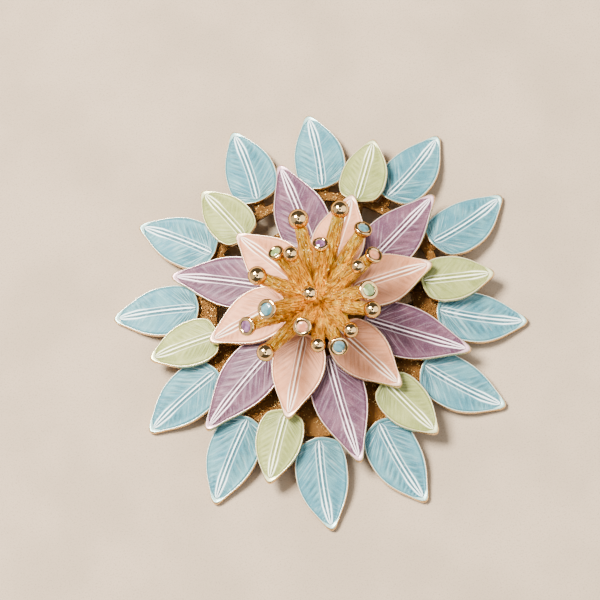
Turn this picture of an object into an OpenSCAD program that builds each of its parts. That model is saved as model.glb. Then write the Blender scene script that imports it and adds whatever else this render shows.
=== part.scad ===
// Statement brooch: a domed flower of four rings of enamelled petals round a cluster of stamens.
// The flower lies face up. The origin is on the table under its middle, and +Z is up.

/* [Blue petals] */
// Reach of a blue tip from the middle
blue_reach = 33; // [31:0.5:33]
// Length of a blue petal
blue_len = 13.8; // [13.6:0.2:14.6]
// Width of a blue petal
blue_w = 8; // [7:0.2:8.2]
// Height of the upper face at a blue petal's foot
blue_foot = 4.4; // [4.3:0.1:4.8]
// Half the angle between the two blue petals of a pair
blue_half_angle = 12.5; // [11.5:0.5:13.5]

/* [Green petals] */
// Reach of a green tip from the middle
green_reach = 27.6; // [26.6:0.2:28.6]
// Length of a green petal
green_len = 11.3; // [10.5:0.2:12.1]
// Width of a green petal
green_w = 7.2; // [6.6:0.2:7.6]
// Height of the upper face at a green tip
green_tip = 3.8; // [3.7:0.1:4.1]
// Height of the upper face at a green petal's foot
green_foot = 6; // [5.9:0.1:6.2]

/* [Lilac petals] */
// Reach of a lilac tip from the middle
lilac_reach = 24.7; // [24:0.1:25.4]
// Length of a lilac petal
lilac_len = 16.7; // [16:0.1:17.4]
// Width of a lilac petal
lilac_w = 8.4; // [7.6:0.2:8.8]
// Height of the upper face at a lilac tip
lilac_tip = 4.4; // [4.3:0.1:4.8]
// Height of the upper face at a lilac petal's foot
lilac_foot = 7.4; // [7.3:0.1:7.6]

/* [Peach petals] */
// Reach of a peach tip from the middle
peach_reach = 18; // [17.4:0.1:18.6]
// Length of a peach petal
peach_len = 13; // [12.6:0.1:13.4]
// Width of a peach petal
peach_w = 8.2; // [7.6:0.2:8.6]
// Height of the upper face at a peach tip
peach_tip = 7.4; // [7.4:0.1:7.8]
// Height of the upper face at a peach petal's foot
peach_foot = 9.6; // [9.6:0.1:9.8]

/* [Petal section] */
// Thickness of a cast petal at its edge
petal_t = 0.9; // [0.8:0.05:1]
// Width of the bare gold rim
rim_w = 0.35; // [0.3:0.05:0.45]
// Depth of the cell that holds the enamel
cell_depth = 0.45; // [0.4:0.05:0.5]
// How far the raised midrib stands over the enamel beside it
midrib_h = 0.2; // [0.1:0.05:0.3]
// How far the enamel sinks between the midrib and the rim
trough = 0.12; // [0.05:0.01:0.14]

/* [Back plate] */
// Radius of the plate's ring, under the blue petals' feet
plate_r = 19.6; // [19.4:0.1:19.8]
// Height of the plate's underside over the table
plate_z = 2.8; // [2.8:0.1:2.9]
// Thickness of the plate
plate_t = 0.8; // [0.7:0.05:0.8]
// Angle that one window of the plate spans
window_angle = 20; // [14:1:20]

/* [Stamens] */
// Radius of the rough dome that the stems grow from
dome_r = 5.4; // [5:0.1:5.6]
// Height of the dome
dome_h = 2.6; // [2.4:0.1:3]
// Radius of a stem at its root
stem_root_r = 1.6; // [1.3:0.05:1.8]
// Radius of a stem under its head
stem_head_r = 0.95; // [0.8:0.05:1.05]
// Radius of the post that holds the layers together
post_r = 1.5; // [1.2:0.1:1.8]

/* [Stones] */
// Share of its bezel cup's diameter that a stone takes
stone_share = 0.66; // [0.6:0.01:0.68]
// Share of the stone's diameter that its table takes
table_share = 0.58; // [0.5:0.01:0.65]

/* [Pin] */
// Length of the bar that carries the pin
bar_len = 31; // [28:0.5:32]
// Width of the bar
bar_w = 4; // [3.5:0.25:5]
// Diameter of the pin's wire
pin_d = 0.9; // [0.8:0.05:1]
// Height of the pin's middle line over the table
pin_z = 0.8; // [0.75:0.05:0.85]

/* [Hidden] */
// Space left between two pieces that touch on the real brooch
gap = 0.05;
// Sides of the faceted discs, of the necks and of a cut stone
disc_sides = 48;
neck_sides = 8;
stone_sides = 12;
// Sides of the parts that are truly round
round_sides = 32;

// A petal's outline from foot to tip: [share of the length, share of the half width]
full_outline = [
    [0, 0.44], [0.07, 0.72], [0.2, 0.94], [0.38, 1], [0.56, 0.92],
    [0.72, 0.7], [0.85, 0.43], [0.94, 0.24], [1, 0.11]
];
slim_outline = [
    [0, 0.42], [0.07, 0.7], [0.2, 0.93], [0.37, 1], [0.54, 0.9],
    [0.7, 0.65], [0.84, 0.38], [0.94, 0.21], [1, 0.1]
];

// The edge of a blue tip is folded down a little, and comes to rest on the table
blue_tip = petal_t + 0.03;

// A ring of petals: [reach, length, width, tip height, foot height, fold in mm per mm,
// upward bow, sideways sway, outline]
blue_ring = [blue_reach, blue_len, blue_w, blue_tip, blue_foot, 0.06, -0.3, 0.4, full_outline];
green_ring = [green_reach, green_len, green_w, green_tip, green_foot, 0.06, 0.2, 0.1, full_outline];
lilac_ring = [lilac_reach, lilac_len, lilac_w, lilac_tip, lilac_foot, 0.05, 0.3, 0.2, slim_outline];
peach_ring = [peach_reach, peach_len, peach_w, peach_tip, peach_foot, 0.1, 0.2, 0, slim_outline];
function reach_of(ring) = ring[0];
function length_of(ring) = ring[1];
function width_of(ring) = ring[2];
function tip_of(ring) = ring[3];
function foot_of(ring) = ring[4];
function fold_of(ring) = ring[5];
function bow_of(ring) = ring[6];
function sway_of(ring) = ring[7];
function outline_of(ring) = ring[8];

// How each petal is bent by hand off its even place, anticlockwise from +X:
// [swing round the middle, extra reach, turn about the tip]
blue_bends = [
    [2, 0.6, 4], [1, 1.3, -4], [2, 0.5, 7], [-2.5, 1.2, -6], [-1, 0, 2], [1.5, -0.3, 3],
    [1, -1, 5], [3, 0.5, 6], [0, 0.6, 5], [0.5, 0.3, 2.5], [-0.5, -1.5, 2], [0, -1.6, -2.5]
];
green_bends = [[-3, -0.5, -3], [-1, 1.5, 3], [-2, 0, -3], [-0.5, -0.3, 1.5], [-1.5, 0.4, 1.5], [-3, -1.3, 3]];
lilac_bends = [[1.5, 0.5, 3], [0.5, 0.2, 5], [0, -0.6, 3.5], [1.5, 0.7, 2], [-1, 0, 2], [-1.5, -0.9, 1]];
peach_bends = [[5, 0.3, 0], [-1, 0.4, 1], [2.5, -0.6, 1], [2.5, -0.4, 8], [0, 0.4, 3], [-1.5, 0, 4]];

// Windows of the back plate: [place, inner radius, outer radius]
windows = [
    [15, 14.8, 18.2], [45, 14.8, 18.2], [75, 14.8, 18.2], [105, 14.8, 18.2], [135, 14.8, 18.2],
    [169, 12.6, 16.2], [348, 10.6, 14]
];

// The stamens, anticlockwise from +X: [place, reach, height, head, diameter of the head]
stamens = [
    [11, 10.3, 17.5, "peach", 2.7], [34, 11.6, 17.5, "aqua", 2.8], [56, 12.4, 17.5, "ball", 2.8],
    [87, 10.6, 17.5, "ball", 3.1], [122, 7.8, 17.5, "green", 2.5], [154, 8.5, 17.5, "ball", 2.9],
    [197, 11.8, 17.5, "lilac", 2.9], [221, 12.5, 17.5, "ball", 2.7], [260, 9.4, 17.5, "ball", 2.3],
    [277, 10.5, 17.5, "aqua", 2.9], [293, 9.2, 17.5, "ball", 2.4], [320, 9.8, 17.5, "ball", 2.6],
    [4, 7.2, 18.5, "ball", 2.2], [64, 6.3, 18.5, "lilac", 2.4], [110, 5.6, 18.5, "ball", 2.4],
    [195, 7.9, 18.5, "aqua", 3.1], [243, 7, 18.5, "peach", 2.8], [336, 8.6, 18.5, "green", 3],
    [229, 1.2, 16.5, "ball", 2.5]
];

plate_top = plate_z + plate_t;
post_hole_r = post_r + 2 * gap;

// Section of a petal
rib_half_w = 0.45;                  // half the width of the midrib
rib_share = 0.4;                    // the most of a narrow petal's half width that the midrib takes
cell_foot = 0.15;                   // a cell stops this much shorter at the foot than at the sides
cell_tip_share = 1.6;               // and this many times as far again at the tip
neck_x = 1.5;                       // the neck meets the petal this far out from the foot
neck_back = 1.9;                    // and the carrier this much further in
neck_r = 0.95;
neck_t = 0.35;
neck_sunk = 0.5;                    // the neck starts this deep in what carries the petal

// Hubs of the two upper layers
hub_t = 0.65;                       // the disc under the petals' feet
hub_drop = 0.3;                     // from the feet's undersides down to the disc's
hub_margin = 0.9;                   // the disc reaches this far past the feet
lilac_boss_r = 5;
peach_boss_r = 3.6;

// Stamens
dome_z = peach_foot + gap;
dome_top_share = 0.62;              // the dome's top against its base
root_share = 0.26;                  // a stem's root lies at this share of its head's reach
root_z = dome_z + 0.85 * stem_root_r;
cup_h = 1.3;
cup_band = 0.5;                     // the straight band under the cup's rim
cup_foot_share = 0.68;              // the cup's foot against its rim
cup_up = 0.45;                      // how far a cup looks up instead of along its stem
seat_depth = 0.75;                  // of the stone's seat in the cup

// Stones, from the cup's rim
table_z = 0.14;
girdle_top = -0.1;
girdle_low = -0.22;
culet_z = -0.68;

function two_digits(k) = k < 10 ? str("0", k) : str(k);
function names(stem, count) = [for (k = [1:count]) str(stem, count > 9 ? two_digits(k) : str(k))];
blue_names = names("blue_enamel_", 12);
green_names = names("green_enamel_", 6);
lilac_names = names("lilac_enamel_", 6);
peach_names = names("peach_enamel_", 6);

// Stamens whose heads hold a stone of one colour
function set_with(colour) = [for (s = stamens) if (s[3] == colour) s];
aqua_set = set_with("aqua");
green_set = set_with("green");
lilac_set = set_with("lilac");
peach_set = set_with("peach");
aqua_stone_names = names("aqua_stone_", len(aqua_set));
green_stone_names = names("green_stone_", len(green_set));
lilac_stone_names = names("lilac_stone_", len(lilac_set));
peach_stone_names = names("peach_stone_", len(peach_set));

// Places round the middle: blues in pairs beside each lilac, greens under the peaches
green_places = [for (k = [0:5]) 60 * k];
peach_places = green_places;
lilac_places = [for (k = [0:5]) 30 + 60 * k];
blue_places = [for (place = lilac_places, side = [-1, 1]) place + side * blue_half_angle];

// Height of a petal's upper face on its middle line, at a share of its length
function spine(ring, s) =
    foot_of(ring) + (tip_of(ring) - foot_of(ring)) * s + bow_of(ring) * 4 * s * (1 - s);
function half_width(ring, s) = width_of(ring) / 2 * lookup(s, outline_of(ring));

// Sections of a leaf from foot to tip. It stays inset inside the petal's outline, and its faces
// lie top over and low under the petal's upper face. A dip above 0 adds troughs and a midrib.
function leaf_section(ring, s, inset, top, low, dip) =
    let (
        x = s * length_of(ring),
        sway = -sway_of(ring) * 4 * s * (1 - s),
        h = max(half_width(ring, s) - inset, 0.1),
        rib = min(rib_half_w, rib_share * h),
        mid = (rib + h) / 2,
        z = spine(ring, s),
        over = function (y, lift) [x, y + sway, z - fold_of(ring) * abs(y) + lift]
    )
    concat(
        [over(-h, -low), over(0, -low), over(h, -low), over(h, top)],
        dip > 0 ? [over(mid, top - dip), over(rib, top - dip)] : [],
        [over(0, top + (dip > 0 ? midrib_h - dip : 0))],
        dip > 0 ? [over(-rib, top - dip), over(-mid, top - dip)] : [],
        [over(-h, top)]
    );

module leaf(ring, inset, top, low, dip) {
    foot_cut = inset > 0 ? inset + cell_foot : 0;
    first = foot_cut / length_of(ring);
    last = 1 - cell_tip_share * foot_cut / length_of(ring);
    sections = [
        for (row = outline_of(ring))
            leaf_section(ring, first + (last - first) * row[0], inset, top, low, dip)
    ];
    n = len(sections[0]);
    m = len(sections);
    points = [for (section = sections) each section];
    polyhedron(
        points,
        concat(
            [[for (j = [0:n - 1]) j]],
            [[for (j = [n - 1:-1:0]) (m - 1) * n + j]],
            [
                for (i = [0:m - 2], j = [0:n - 1], half = [0, 1])
                let (a = i * n + j, b = i * n + (j + 1) % n)
                half == 0 ? [b, a, a + n] : [b, a + n, b + n]
            ]
        )
    );
}

// Puts a petal's foot and tip in place: its tip first, then the turn about the tip
module petal_place(ring, at, bend)
    rotate(at + bend[0])
        translate([reach_of(ring) + bend[1], 0, 0])
            rotate(bend[2])
                translate([-length_of(ring), 0, 0])
                    children();

// A petal before its cell is cut, with a bent neck down to what carries it
module petal(ring, carrier_top) {
    leaf(ring, 0, 0, petal_t, 0);
    low = carrier_top - neck_sunk;
    high = spine(ring, neck_x / length_of(ring)) - petal_t;
    bends = [
        [neck_x - neck_back, low], [neck_x - neck_back / 2, (low + 2 * high) / 3], [neck_x, high]
    ];
    for (i = [0, 1])
        hull()
            for (bend = [bends[i], bends[i + 1]])
                translate([bend[0], 0, bend[1]]) cylinder(r = neck_r, h = neck_t, $fn = neck_sides);
}

// The space in a petal's face that the enamel fills
module cell(ring) leaf(ring, rim_w, 2, cell_depth, 0);

// A ring of cast petals on the carrier given as children. All the cells are cut last, so that
// where two feet or a foot and the carrier run into each other each enamel keeps its space.
module cast_ring(ring, places, bends, carrier_top)
    difference() {
        union() {
            children();
            for (k = [0:len(bends) - 1])
                petal_place(ring, places[k], bends[k]) petal(ring, carrier_top);
        }
        for (k = [0:len(bends) - 1]) petal_place(ring, places[k], bends[k]) cell(ring);
    }

module enamel(ring) leaf(ring, rim_w + gap, -gap, cell_depth - gap, trough);

// One window: a piece of a ring, cut through
module window(row) {
    step = window_angle / 4;
    angles = [for (k = [-2:2]) row[0] + k * step];
    polygon(concat(
        [for (a = angles) row[2] * [cos(a), sin(a)]],
        [for (k = [4:-1:0]) row[1] * [cos(angles[k]), sin(angles[k])]]
    ));
}

module back_plate()
    translate([0, 0, plate_z])
        linear_extrude(plate_t)
            difference() {
                circle(r = plate_r, $fn = disc_sides);
                for (row = windows) window(row);
                circle(r = post_hole_r, $fn = disc_sides / 2);
            }

// The hub of an upper layer: a disc under the petals' feet on a boss that stands on what is below
function hub_z(ring) = foot_of(ring) - petal_t - hub_drop;

module hub(ring, boss_r, boss_z)
    difference() {
        union() {
            translate([0, 0, hub_z(ring)])
                cylinder(r = reach_of(ring) - length_of(ring) + hub_margin, h = hub_t, $fn = disc_sides / 2);
            translate([0, 0, boss_z])
                cylinder(r = boss_r, h = foot_of(ring) - boss_z, $fn = disc_sides / 2);
        }
        translate([0, 0, boss_z - 1])
            cylinder(r = post_hole_r, h = foot_of(ring), $fn = disc_sides / 2);
    }

module outer_layer()
    color("goldenrod") {
        cast_ring(blue_ring, blue_places, blue_bends, plate_top) back_plate();
        cast_ring(green_ring, green_places, green_bends, plate_top);
    }

module lilac_layer()
    color("goldenrod")
        cast_ring(lilac_ring, lilac_places, lilac_bends, hub_z(lilac_ring) + hub_t)
            hub(lilac_ring, lilac_boss_r, plate_top + gap);

module peach_layer()
    color("goldenrod")
        cast_ring(peach_ring, peach_places, peach_bends, hub_z(peach_ring) + hub_t)
            hub(peach_ring, peach_boss_r, lilac_foot + gap);

// A stem's two ends, and the way its head looks
function polar(at, reach, z) = [reach * cos(at), reach * sin(at), z];
function head_point(s) = polar(s[0], s[1], s[2]);
function root_point(s) = polar(s[0], s[1] * root_share, root_z);
function unit(v) = v / norm(v);
function head_way(s) = unit(unit(head_point(s) - root_point(s)) + [0, 0, cup_up]);

// Turns +Z along a direction and moves it to a point
module along(point, way)
    translate(point)
        rotate([0, acos(way[2] / norm(way)), atan2(way[1], way[0])])
            children();

module stem(s, short) {
    way = head_point(s) - root_point(s);
    along(root_point(s), way)
        cylinder(h = norm(way) - short, r1 = stem_root_r, r2 = stem_head_r, $fn = round_sides);
}

// A bezel cup whose rim's middle is the head's point
module cup(s) {
    r = s[4] / 2;
    along(head_point(s), head_way(s))
        difference() {
            union() {
                translate([0, 0, -cup_h])
                    cylinder(h = cup_h - cup_band, r1 = r * cup_foot_share, r2 = r, $fn = round_sides);
                translate([0, 0, -cup_band]) cylinder(h = cup_band, r = r, $fn = round_sides);
            }
            translate([0, 0, -seat_depth])
                cylinder(h = seat_depth + 1, r = r * stone_share + gap, $fn = round_sides);
        }
}

module stamen_cluster()
    color("darkgoldenrod") {
        translate([0, 0, dome_z])
            cylinder(h = dome_h, r1 = dome_r, r2 = dome_r * dome_top_share, $fn = round_sides);
        translate([0, 0, plate_z])
            cylinder(h = dome_z - plate_z + 0.5, r = post_r, $fn = round_sides);
        for (s = stamens) {
            stem(s, s[3] == "ball" ? 0 : cup_h * 0.8);
            if (s[3] == "ball") translate(head_point(s)) sphere(d = s[4], $fn = round_sides);
            else cup(s);
        }
    }

// A cut stone: a table, a ring of crown facets, a girdle, and facets down to the culet
module stone(s) {
    r = s[4] / 2 * stone_share - gap / 2;
    along(head_point(s), head_way(s))
        rotate_extrude($fn = stone_sides)
            polygon([[0, culet_z], [r, girdle_low], [r, girdle_top], [r * table_share, table_z], [0, table_z]]);
}

// The hidden pin: a bar under the plate, a hinge block, a wire and a hook, closed
module pin_finding() {
    bar_top = plate_z - gap;
    bar_t = 0.6;
    end_x = bar_len / 2 - bar_w / 2;
    hinge_x = 2 - bar_len / 2;
    hook_x = bar_len / 2 - 2.4;
    wall = 0.6;                     // of the hinge's ears and of the hook
    wall_low = pin_z - 0.62;
    wall_h = bar_top - bar_t / 2 - wall_low;
    ear_y = 0.95;
    ear_len = 2;
    hook_len = 1.4;
    barrel_d = 1.1;
    point_len = 1.6;
    color("gold") {
        translate([0, 0, bar_top - bar_t])
            linear_extrude(bar_t) {
                square([2 * end_x, bar_w], center = true);
                for (side = [-1, 1]) translate([side * end_x, 0]) circle(d = bar_w, $fn = round_sides);
            }
        for (side = [-1, 1])
            translate([hinge_x - ear_len / 2, side * ear_y - wall / 2, wall_low])
                cube([ear_len, wall, wall_h]);
        translate([hinge_x, 0, pin_z]) rotate([90, 0, 0])
            cylinder(h = 2 * ear_y + wall, d = barrel_d, center = true, $fn = round_sides);
        translate([hinge_x, 0, pin_z]) rotate([0, 90, 0])
            cylinder(h = hook_x - hinge_x + 1, d = pin_d, $fn = round_sides);
        translate([hook_x + 1, 0, pin_z]) rotate([0, 90, 0])
            cylinder(h = point_len, d1 = pin_d, d2 = 0.2, $fn = round_sides);
        translate([hook_x - hook_len / 2, 0, wall_low]) {
            translate([0, pin_d / 2 + 0.1, 0]) cube([hook_len, wall, wall_h]);
            translate([0, -pin_d / 2, 0]) cube([hook_len, pin_d + 0.3, 0.35]);
        }
    }
}

module blue_enamel(k)
    color("lightblue") petal_place(blue_ring, blue_places[k], blue_bends[k]) enamel(blue_ring);

module green_enamel(k)
    color("palegoldenrod") petal_place(green_ring, green_places[k], green_bends[k]) enamel(green_ring);

module lilac_enamel(k)
    color("plum") petal_place(lilac_ring, lilac_places[k], lilac_bends[k]) enamel(lilac_ring);

module peach_enamel(k)
    color("peachpuff") petal_place(peach_ring, peach_places[k], peach_bends[k]) enamel(peach_ring);

module aqua_stone(k) color("aquamarine") stone(aqua_set[k]);
module green_stone(k) color("palegreen") stone(green_set[k]);
module lilac_stone(k) color("orchid") stone(lilac_set[k]);
module peach_stone(k) color("lightsalmon") stone(peach_set[k]);

outer_layer();
lilac_layer();
peach_layer();
stamen_cluster();
pin_finding();
for (k = [0:11]) blue_enamel(k);
for (k = [0:5]) green_enamel(k);
for (k = [0:5]) lilac_enamel(k);
for (k = [0:5]) peach_enamel(k);
for (k = [0:len(aqua_set) - 1]) aqua_stone(k);
for (k = [0:len(green_set) - 1]) green_stone(k);
for (k = [0:len(lilac_set) - 1]) lilac_stone(k);
for (k = [0:len(peach_set) - 1]) peach_stone(k);
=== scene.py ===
import math
import bmesh
import bpy
import numpy as np
from mathutils import Matrix, Vector, noise


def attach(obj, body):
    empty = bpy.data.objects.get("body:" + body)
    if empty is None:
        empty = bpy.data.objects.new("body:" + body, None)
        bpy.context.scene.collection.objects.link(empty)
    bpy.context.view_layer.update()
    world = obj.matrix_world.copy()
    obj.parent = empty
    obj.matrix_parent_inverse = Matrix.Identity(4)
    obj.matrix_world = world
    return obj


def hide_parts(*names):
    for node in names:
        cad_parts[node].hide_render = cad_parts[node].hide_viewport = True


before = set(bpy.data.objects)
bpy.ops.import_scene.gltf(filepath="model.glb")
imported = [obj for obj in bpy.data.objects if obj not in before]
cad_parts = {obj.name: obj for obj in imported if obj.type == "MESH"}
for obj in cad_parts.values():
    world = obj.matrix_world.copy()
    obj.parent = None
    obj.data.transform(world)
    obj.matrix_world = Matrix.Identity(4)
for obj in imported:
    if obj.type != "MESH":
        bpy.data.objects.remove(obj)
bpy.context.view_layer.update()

mm = 0.001  # shapes are worked out in millimetres and made in metres
fullTurn = 2 * math.pi

# The place that the picture is taken from: angles in degrees, lengths in millimetres
photoView = {
    "turn": 2.364,        # round the middle, from straight in front
    "elevation": 72.0,
    "roll": 18.0,
    "distance": 454.5,
    "targetHeight": 0.9,
    "aimRight": -3.62,    # the middle of the picture lies beside the flower's
    "aimUp": 2.68,
    "lens": 176.94,
    "sensor": 36.0,
    "nearest": 10,        # what is nearer to the camera isn't drawn
}


def viewAxes(view):
    turn, elevation, roll = (math.radians(view[key]) for key in ("turn", "elevation", "roll"))
    toCamera = Vector((
        math.sin(turn) * math.cos(elevation),
        -math.cos(turn) * math.cos(elevation),
        math.sin(elevation),
    ))
    across = Vector((math.cos(turn), math.sin(turn), 0))
    above = toCamera.cross(across)
    right = across * math.cos(roll) - above * math.sin(roll)
    up = across * math.sin(roll) + above * math.cos(roll)
    return toCamera, right, up


def addObject(name, data):
    made = bpy.data.objects.new(name, data)
    bpy.context.scene.collection.objects.link(made)
    return made


def addCamera(view):
    toCamera, right, up = viewAxes(view)
    target = Vector((0, 0, view["targetHeight"]))
    place = target + toCamera * view["distance"]
    aim = target + right * view["aimRight"] + up * view["aimUp"]
    back = (place - aim).normalized()
    side = up.cross(back).normalized()
    data = bpy.data.cameras.new("photoCamera")
    data.lens = view["lens"]
    data.sensor_width = view["sensor"]
    data.clip_start = view["nearest"] * mm
    camera = addObject("photoCamera", data)
    axes = Matrix((side, back.cross(side), back)).transposed().to_4x4()
    camera.matrix_world = Matrix.Translation(place * mm) @ axes
    bpy.context.scene.camera = camera


addCamera(photoView)
print("camera placed")


# Small helpers for node trees

def setSocket(tree, socket, value):
    if isinstance(value, bpy.types.NodeSocket):
        tree.links.new(value, socket)
    elif socket.type == "RGBA":
        socket.default_value = (*value, 1.0)
    else:
        socket.default_value = value


def addNode(tree, kind, inputs=None, **settings):
    node = tree.nodes.new(kind)
    for key, value in settings.items():
        setattr(node, key, value)
    for key, value in (inputs or {}).items():
        setSocket(tree, node.inputs[key], value)
    return node


def calc(tree, operation, *values):
    return addNode(tree, "ShaderNodeMath", dict(enumerate(values)), operation=operation).outputs[0]


def times(tree, first, second):
    return calc(tree, "MULTIPLY", first, second)


def plus(tree, first, second):
    return calc(tree, "ADD", first, second)


def less(tree, first, second):
    return calc(tree, "SUBTRACT", first, second)


def larger(tree, first, second):
    return calc(tree, "MAXIMUM", first, second)


def ramp(tree, value, low, high, lowOut=0.0, highOut=1.0):
    inputs = {"Value": value, "From Min": low, "From Max": high, "To Min": lowOut, "To Max": highOut}
    return addNode(tree, "ShaderNodeMapRange", inputs, interpolation_type="SMOOTHSTEP").outputs[0]


def mixColour(tree, factor, first, second):
    inputs = {0: factor, 6: first, 7: second}  # numbers of the factor and of the two colours
    return addNode(tree, "ShaderNodeMix", inputs, data_type="RGBA").outputs[2]


def asVector(tree, x=0.0, y=0.0, z=0.0):
    return addNode(tree, "ShaderNodeCombineXYZ", {"X": x, "Y": y, "Z": z}).outputs[0]


def scaled(tree, place, factor):
    return addNode(tree, "ShaderNodeVectorMath", {0: place, 3: factor}, operation="SCALE").outputs[0]


def noiseValue(tree, place, scale, detail, **more):
    inputs = {"Vector": place, "Scale": scale, "Detail": detail, **more}
    dimensions = "4D" if "W" in more else "3D"
    return addNode(tree, "ShaderNodeTexNoise", inputs, noise_dimensions=dimensions).outputs["Fac"]


socketKinds = {  # by label; every other socket is a number
    "Geometry": "NodeSocketGeometry", "Material": "NodeSocketMaterial", "Shape": "NodeSocketObject",
}


def newGroup(name, kind, inputs, outputs):
    tree = bpy.data.node_groups.new(name, kind)
    for label, value in inputs.items():
        number = "NodeSocketInt" if isinstance(value, int) else "NodeSocketFloat"
        socketType = socketKinds.get(label, number)
        socket = tree.interface.new_socket(name=label, in_out="INPUT", socket_type=socketType)
        if label not in socketKinds:
            socket.default_value = value
    for label in outputs:
        socketType = socketKinds.get(label, "NodeSocketFloat")
        tree.interface.new_socket(name=label, in_out="OUTPUT", socket_type=socketType)
    return tree, tree.nodes.new("NodeGroupInput").outputs, tree.nodes.new("NodeGroupOutput").inputs


def geometryGroup(name, inputs):
    return newGroup(name, "GeometryNodeTree", {"Geometry": None, **inputs, "Material": None}, ["Geometry"])


def readAttribute(tree, name, kind="FLOAT"):
    node = addNode(tree, "GeometryNodeInputNamedAttribute", {"Name": name}, data_type=kind)
    return node.outputs["Attribute"]


def readAttributes(tree, *names):
    return [readAttribute(tree, name) for name in names]


def storeAttribute(tree, geometry, name, value, kind="FLOAT"):
    inputs = {"Geometry": geometry, "Name": name, "Value": value}
    return addNode(tree, "GeometryNodeStoreNamedAttribute", inputs, data_type=kind).outputs[0]


def shiftBy(tree, geometry, offset):
    return addNode(tree, "GeometryNodeSetPosition", {"Geometry": geometry, "Offset": offset}).outputs[0]


def smoothed(tree, geometry):
    return addNode(tree, "GeometryNodeSetShadeSmooth", {"Geometry": geometry}).outputs[0]


def closeTree(tree, geometry, inside, out):
    real = addNode(tree, "GeometryNodeRealizeInstances", {"Geometry": geometry}).outputs[0]
    dressed = addNode(tree, "GeometryNodeSetMaterial", {"Geometry": real, "Material": inside["Material"]})
    tree.links.new(dressed.outputs[0], out["Geometry"])
    return tree


def runNodes(piece, tree, values):
    modifier = piece.modifiers.new(tree.name, "NODES")
    modifier.node_group = tree
    for item in tree.interface.items_tree:
        if item.in_out == "INPUT" and item.name in values:
            modifier[item.identifier] = values[item.name]
    evaluated = piece.evaluated_get(bpy.context.evaluated_depsgraph_get())
    mesh = bpy.data.meshes.new_from_object(evaluated)
    mesh.name = piece.name
    piece.modifiers.clear()
    piece.data = mesh
    return piece


# Small helpers for meshes

tooNear = 0.0005 * mm  # corners nearer than this are one corner


def makePiece(name, points, faces, material=None, edges=(), floats=None, vectors=None):
    mesh = bpy.data.meshes.new(name)
    mesh.from_pydata((np.asarray(points, float) * mm).tolist(), list(edges), faces)
    for kind, field, attributes in (("FLOAT", "value", floats), ("FLOAT_VECTOR", "vector", vectors)):
        for label, values in (attributes or {}).items():
            layer = mesh.attributes.new(label, kind, "POINT")
            layer.data.foreach_set(field, np.asarray(values, float).ravel())
    if material:
        mesh.materials.append(material)
    return addObject(name, mesh)


def meshFrom(work, name):
    mesh = bpy.data.meshes.new(name)
    work.to_mesh(mesh)
    work.free()
    return mesh


def closeUp(piece, smoothBelow=None):
    work = bmesh.new()
    work.from_mesh(piece.data)
    bmesh.ops.remove_doubles(work, verts=work.verts, dist=tooNear)
    bmesh.ops.dissolve_degenerate(work, edges=work.edges, dist=tooNear)
    bmesh.ops.recalc_face_normals(work, faces=work.faces)
    work.to_mesh(piece.data)
    work.free()
    if smoothBelow:
        piece.data.shade_smooth()
        piece.data.set_sharp_from_angle(angle=math.radians(smoothBelow))


def joinPieces(pieces, name):
    work = bmesh.new()
    for piece in pieces:
        work.from_mesh(piece.data)
    mesh = meshFrom(work, name)
    for material in pieces[0].data.materials:
        mesh.materials.append(material)
    for piece in pieces:
        bpy.data.objects.remove(piece)
    return addObject(name, mesh)


def standsFor(piece, slot, *nodes):
    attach(piece, "root")
    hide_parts(*nodes)


def around(radius, angle):
    return radius * math.cos(angle), radius * math.sin(angle)


def loopFaces(loops, count, closed=False):
    faces = []
    for j in range(loops if closed else loops - 1):
        low, high = j * count, (j + 1) % loops * count
        for k in range(count):
            following = (k + 1) % count
            faces.append((low + k, low + following, high + following, high + k))
    return faces


# Shader effects that several finishes share

def grainGroup():
    tree, inside, out = newGroup(
        "fineGrain", "ShaderNodeTree", {"Grain size": 0.2, "Patch size": 2.0}, ["Grain", "Patches"])
    place = scaled(tree, addNode(tree, "ShaderNodeTexCoord").outputs["Object"], 1 / mm)
    for size, detail, label in (("Grain size", 2.0, "Grain"), ("Patch size", 3.0, "Patches")):
        scale = calc(tree, "DIVIDE", 1.0, inside[size])
        tree.links.new(noiseValue(tree, place, scale, detail), out[label])
    return tree


def glitterGroup():
    tree, inside, out = newGroup(
        "castGlitter", "ShaderNodeTree", {"Fleck size": 0.2, "Coverage": 0.3}, ["Flecks", "Height"])
    place = scaled(tree, addNode(tree, "ShaderNodeTexCoord").outputs["Object"], 1 / mm)
    scale = calc(tree, "DIVIDE", 1.0, inside["Fleck size"])
    cells = addNode(tree, "ShaderNodeTexVoronoi", {"Vector": place, "Scale": scale}).outputs["Color"]
    picked = addNode(tree, "ShaderNodeSeparateColor", {"Color": cells}).outputs[0]
    flecks = calc(tree, "GREATER_THAN", picked, less(tree, 1.0, inside["Coverage"]))
    height = plus(tree, times(tree, picked, 0.6), noiseValue(tree, place, scale, 4.0))
    tree.links.new(flecks, out["Flecks"])
    tree.links.new(height, out["Height"])
    return tree


fineGrain = grainGroup()
castGlitter = glitterGroup()


def spaced(values):
    return {key.replace("_", " "): value for key, value in values.items()}


def useGroup(tree, group, **inputs):
    return addNode(tree, "ShaderNodeGroup", spaced(inputs), node_tree=group).outputs


def newMaterial(name, **values):
    material = bpy.data.materials.new(name)
    material.use_nodes = True
    tree = material.node_tree
    tree.nodes.clear()
    shader = addNode(tree, "ShaderNodeBsdfPrincipled", spaced(values))
    addNode(tree, "ShaderNodeOutputMaterial", {"Surface": shader.outputs[0]})
    return material, tree, shader.inputs


def wire(tree, shader, **values):
    for key, value in spaced(values).items():
        tree.links.new(value, shader[key])


def surfaceValue(tree, name, output="Fac"):
    return addNode(tree, "ShaderNodeAttribute", attribute_name=name).outputs[output]


def raised(tree, height, distance):
    return addNode(tree, "ShaderNodeBump", {"Height": height, "Distance": distance * mm}).outputs[0]


# Finishes: colours are red, green and blue; grains and patches are sized in millimetres

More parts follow.
